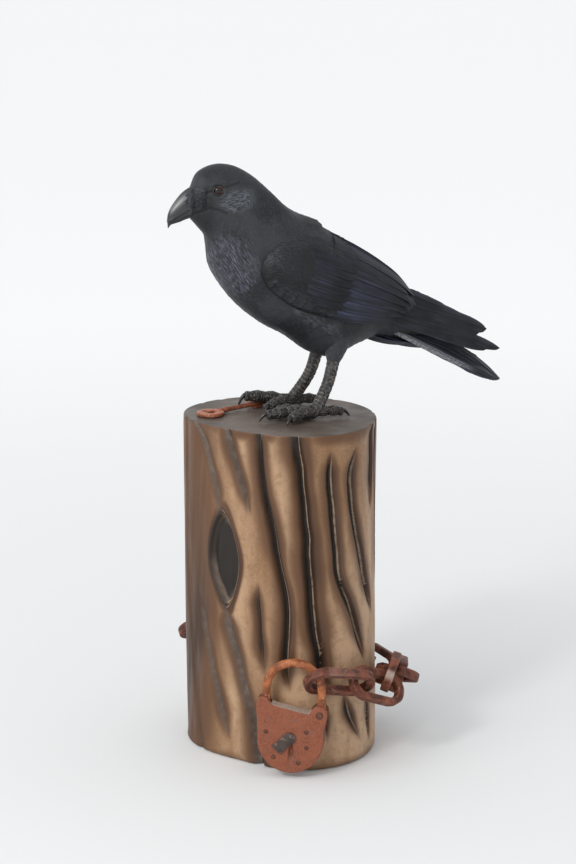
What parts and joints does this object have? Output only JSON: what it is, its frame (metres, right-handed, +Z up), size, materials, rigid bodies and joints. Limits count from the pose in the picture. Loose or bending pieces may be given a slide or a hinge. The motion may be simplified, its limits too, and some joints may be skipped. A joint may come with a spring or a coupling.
{
  "type": "raven carving",
  "caption": "Painted wood carving of a raven standing on a grooved upright log, with a carved key on top and a carved padlock and chain round the log's foot.",
  "frame": {"origin": "centre of the log's flat underside", "axes": "+Z up, -Y towards the front where the padlock hangs, +X to the raven's tail side"},
  "size_m": [0.2913, 0.2212, 0.5217],
  "materials": {
    "raven_paint": "satin painted wood, near black with a blue-grey sheen",
    "eye_glass": "polished, dark brown to black",
    "bark_paint": "satin airbrushed wood, tan to dark brown",
    "key_paint": "satin painted wood, rust brown",
    "padlock_paint": "matte painted wood, rust red",
    "shackle_paint": "satin painted wood, rust orange",
    "cover_paint": "satin painted wood, dark iron brown",
    "chain_paint": "satin painted wood, dark rust red"
  },
  "bodies": {
    "root": {"raven": "raven_paint", "eye_left": "eye_glass", "eye_right": "eye_glass", "log": "bark_paint", "key": "key_paint", "padlock_case": "padlock_paint", "padlock_shackle": "shackle_paint", "keyhole_cover": "cover_paint", "chain_link_01": "chain_paint", "chain_link_02": "chain_paint", "chain_link_03": "chain_paint", "chain_link_04": "chain_paint", "chain_link_05": "chain_paint", "chain_link_06": "chain_paint", "chain_link_07": "chain_paint", "chain_link_08": "chain_paint", "chain_link_09": "chain_paint", "chain_link_10": "chain_paint", "chain_link_11": "chain_paint", "chain_link_12": "chain_paint"}
  },
  "joints": []
}
